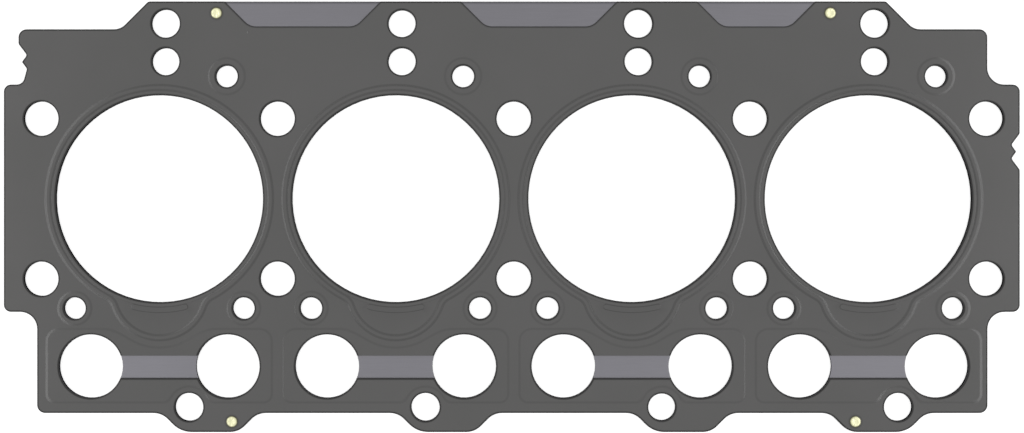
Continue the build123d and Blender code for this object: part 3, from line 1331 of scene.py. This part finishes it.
@dataclass(frozen=True)
class Rivet:
    """One clinched rivet: a low dished head, a shank and a flush tail."""

    node: str
    seed: int
    tail_radius: float = 2.5
    shank_radius: float = 1.6
    tail_depth: float = 0.8
    seat: float = 1.5
    head_radius: float = 2.9
    sides: int = 56
    dent_low: float = 0.012
    dent_high: float = 0.03
    dent_reach: float = 1.6
    sharp_from: float = math.radians(50)

    def outline(self) -> Section:
        """Returns the section as radius, height and the share of painted highlight there, which also
        sets how far the dents reach.
        """
        return [
            (0.0, 0.0, 0.0),
            (self.tail_radius, 0.0, 0.0),
            (self.shank_radius, self.tail_depth, 0.0),
            (self.shank_radius, self.seat, 0.0),
            (self.head_radius, self.seat, 0.0),
            (self.head_radius, self.seat + 0.04, 0.0),
            (2.78, self.seat + 0.075, 0.0),
            (2.66, self.seat + 0.1, 0.0),
            (2.5, self.seat + 0.15, 0.3),
            (2.3, self.seat + 0.21, 0.6),
            (1.95, self.seat + 0.25, 0.8),
            (1.5, self.seat + 0.255, 0.95),
            (1.1, self.seat + 0.22, 1.0),
            (0.7, self.seat + 0.17, 1.0),
            (0.35, self.seat + 0.15, 1.0),
            (0.0, self.seat + 0.145, 1.0),
        ]

    def points(self, section: Section) -> tuple[Array, list[float]]:
        """Turns the section round the rivet's axis and dents its crown a little.

        Args:
            section: The outline, from the tail's middle to the head's.

        Returns:
            The points about the axis in millimetres, and the share of painted highlight at each.
        """
        chance = np.random.default_rng(self.seed)
        phases = chance.uniform(0, FULL_TURN, 3)
        sizes = chance.uniform(self.dent_low, self.dent_high, 3)
        points = [(0.0, 0.0, section[0][1])]
        crowns = [section[0][2]]
        for radius, height, crown in section[1:-1]:
            for turn in np.arange(self.sides) / self.sides * FULL_TURN:
                waves = enumerate(zip(sizes, phases), start=2)
                dent = abs(sum(size * math.cos(n * turn + phase) for n, (size, phase) in waves))
                depth = dent * crown * min(radius, self.dent_reach)
                points.append((radius * math.cos(turn), radius * math.sin(turn), height - depth))
                crowns.append(crown)
        points.append((0.0, 0.0, section[-1][1]))
        crowns.append(section[-1][2])
        return np.array(points), crowns

    def faces(self, rings: int) -> list[tuple[int, ...]]:
        """Joins the rings of points, and closes the tail and the head.

        Args:
            rings: How many rings of points there are.

        Returns:
            The corners of each face.
        """
        faces: list[tuple[int, ...]] = []
        for ring in range(rings - 1):
            for side in range(self.sides):
                a = 1 + ring * self.sides + side
                b = 1 + ring * self.sides + (side + 1) % self.sides
                faces.append((a, b, b + self.sides, a + self.sides))
        last = 1 + (rings - 1) * self.sides
        for side in range(self.sides):
            following = (side + 1) % self.sides
            faces.append((0, 1 + following, 1 + side))
            faces.append((last + side, last + following, last + self.sides))
        return faces

    def build(self, material: bpy.types.Material) -> bpy.types.Object:
        """Makes the rivet where its node is.

        Args:
            material: Its finish.

        Returns:
            The new piece.
        """
        low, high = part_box(self.node)
        centre = ((low.x + high.x) / 2, (low.y + high.y) / 2, 0.0)
        section = self.outline()
        points, crowns = self.points(section)
        name = f"{self.node}_clinched"
        mesh = bpy.data.meshes.new(name)
        places = (points * MM + centre).tolist()
        mesh.from_pydata(places, [], self.faces(len(section) - 2))
        mesh.materials.append(material)
        mesh.polygons.foreach_set("use_smooth", np.ones(len(mesh.polygons), bool))
        mesh.set_sharp_from_angle(angle=self.sharp_from)
        # The crown attribute carries the painted highlight on the head and the painted shade in its
        # ring.
        bright = mesh.attributes.new("crown", "FLOAT", "POINT")
        bright.data.foreach_set("value", crowns)
        mesh.update()
        return placed(name, mesh)


@dataclass(frozen=True)
class Studio:
    """The white floor, the lamps and the camera straight above the gasket."""

    camera_x: float = -6.6
    camera_y: float = 4.6
    camera_height: float = 475.0
    pixels_per_mm: float = 2.003
    axis_column: float = 500.6
    axis_row: float = 189.5
    face_height: float = 1.5
    floor_half: float = 4.0
    floor_drop: float = 0.02
    floor_white: float = 0.9
    floor_roughness: float = 0.9
    floor_glow: float = 0.55
    sky: float = 0.32
    mirrored_sky: float = 0.8
    shown_sky: float = 1.0
    lamp_side: float = 3.17
    lamp_height: float = 2.83
    lamp_size: tuple[float, float] = (4.0, 2.08)
    lamp_power: float = 87.0

    def camera(self) -> bpy.types.Object:
        """Makes the camera, with the shift that frames the gasket as the photograph does."""
        data = bpy.data.cameras.new("camera")
        data.sensor_fit = "HORIZONTAL"
        data.sensor_width = SENSOR_WIDTH
        focal_pixels = self.pixels_per_mm * (self.camera_height - self.face_height)
        data.lens = focal_pixels / IMAGE_WIDTH * SENSOR_WIDTH
        data.shift_x = (IMAGE_WIDTH / 2 - self.axis_column) / IMAGE_WIDTH
        data.shift_y = -(IMAGE_HEIGHT / 2 - self.axis_row) / IMAGE_WIDTH
        camera = placed("camera", data)
        camera.location = (self.camera_x * MM, self.camera_y * MM, self.camera_height * MM)
        bpy.context.scene.camera = camera
        return camera

    def lamp(self, name: str, side: float) -> bpy.types.Object:
        """Makes an area lamp that faces the gasket's middle.

        Args:
            name: The lamp's name.
            side: Where it stands along X, in metres.

        Returns:
            The lamp.
        """
        data = bpy.data.lights.new(name, "AREA")
        data.shape = "RECTANGLE"
        data.size, data.size_y = self.lamp_size
        data.energy = self.lamp_power
        lamp = placed(name, data)
        lamp.location = (side, 0.0, self.lamp_height)
        lamp.rotation_euler = (-lamp.location).to_track_quat("-Z", "Y").to_euler()
        return lamp

    def floor(self) -> bpy.types.Object:
        """Makes the white floor, which keeps the gasket's shadow."""
        half, level = self.floor_half, -self.floor_drop * MM
        mesh = bpy.data.meshes.new("floor")
        sides = [(-half, -half), (half, -half), (half, half), (-half, half)]
        mesh.from_pydata([(x, y, level) for x, y in sides], [], [(0, 1, 2, 3)])
        shader = Shader("floor_white")
        path = shader.node("ShaderNodeLightPath")
        seen = Socket(shader, path.outputs["Is Camera Ray"])
        mirrored = Socket(shader, path.outputs["Is Glossy Ray"])
        through = Socket(shader, path.outputs["Is Transmission Ray"])
        paint = {"Base Color": (self.floor_white,) * 3, "Roughness": self.floor_roughness}
        glow = {"Emission Color": WHITE, "Emission Strength": self.floor_glow}
        shader.set(Base_Color=paint["Base Color"], Roughness=paint["Roughness"])
        glowing = shader.node("ShaderNodeBsdfPrincipled", inputs={**paint, **glow})
        mix = shader.node(
            "ShaderNodeMixShader",
            inputs={
                0: (seen + mirrored + through).clamped(),
                1: shader.surface.outputs[0],
                2: glowing.outputs[0],
            },
        )
        shader.feed(shader.output.inputs["Surface"], mix.outputs[0])
        mesh.materials.append(shader.material)
        floor = placed("floor", mesh)
        return floor

    def world(self) -> None:
        """Makes the soft light that comes from all round, white where it is seen."""
        world = bpy.data.worlds.new("studio")
        world.use_nodes = True
        nodes = Nodes(world.node_tree)
        path = nodes.node("ShaderNodeLightPath")
        lit = nodes.node("ShaderNodeBackground", inputs={"Color": WHITE, "Strength": self.sky})
        shown = lit.outputs[0]
        strengths = {"Is Glossy Ray": self.mirrored_sky, "Is Camera Ray": self.shown_sky}
        for ray, strength in strengths.items():
            sky = nodes.node("ShaderNodeBackground", inputs={"Color": WHITE, "Strength": strength})
            mixed = {0: path.outputs[ray], 1: shown, 2: sky.outputs[0]}
            shown = nodes.node("ShaderNodeMixShader", inputs=mixed).outputs[0]
        nodes.node("ShaderNodeOutputWorld", inputs={"Surface": shown})
        bpy.context.scene.world = world

    def build(self) -> None:
        """Sets up the floor, the world, the lamps and the camera."""
        bpy.context.scene.view_settings.view_transform = "Standard"
        self.floor()
        self.world()
        self.lamp("left_lamp", -self.lamp_side)
        self.lamp("right_lamp", self.lamp_side)
        self.camera()


def main() -> None:
    """Builds and dresses every piece, then the studio."""
    logging.basicConfig(level=logging.INFO, format="%(name)s: %(message)s")
    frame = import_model()
    nodes = frame["nodes"]

    steel = SteelFinish(Slot.BARE_STEEL.value).build()
    stopper = SteelFinish(Slot.STOPPER.value, roughness=0.3).build()
    coating = CoatingFinish().build()
    brass = RivetFinish().build()

    for name, node in nodes.items():
        is_stopper = name.startswith("stopper")
        node.data.materials.clear()
        node.data.materials.append(stopper if is_stopper else steel)
        LOG.info("dressed %s", name)

    plan = GasketPlan.of_node(nodes["carrier_plate"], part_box("carrier_plate")[1].z / MM)
    LOG.info("plan: %d holes, outline of %d points", len(plan.holes), len(plan.outline))
    names = sorted(name for name in nodes if name.startswith("rivet"))
    centres = [(Vector(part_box(name)[0]) + Vector(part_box(name)[1])) / (2 * MM) for name in names]
    rivets = [(centre.x, centre.y) for centre in centres]
    sheet = BeadLayer(plan, rivets).build(coating, steel)
    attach(sheet, "root")
    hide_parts("top_bead_layer")

    for seed, name in enumerate(names, start=1):
        rivet = Rivet(name, seed).build(brass)
        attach(rivet, "root")
        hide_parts(name)
        LOG.info("made %s", rivet.name)

    Studio().build()


if __name__ == "__main__":
    main()
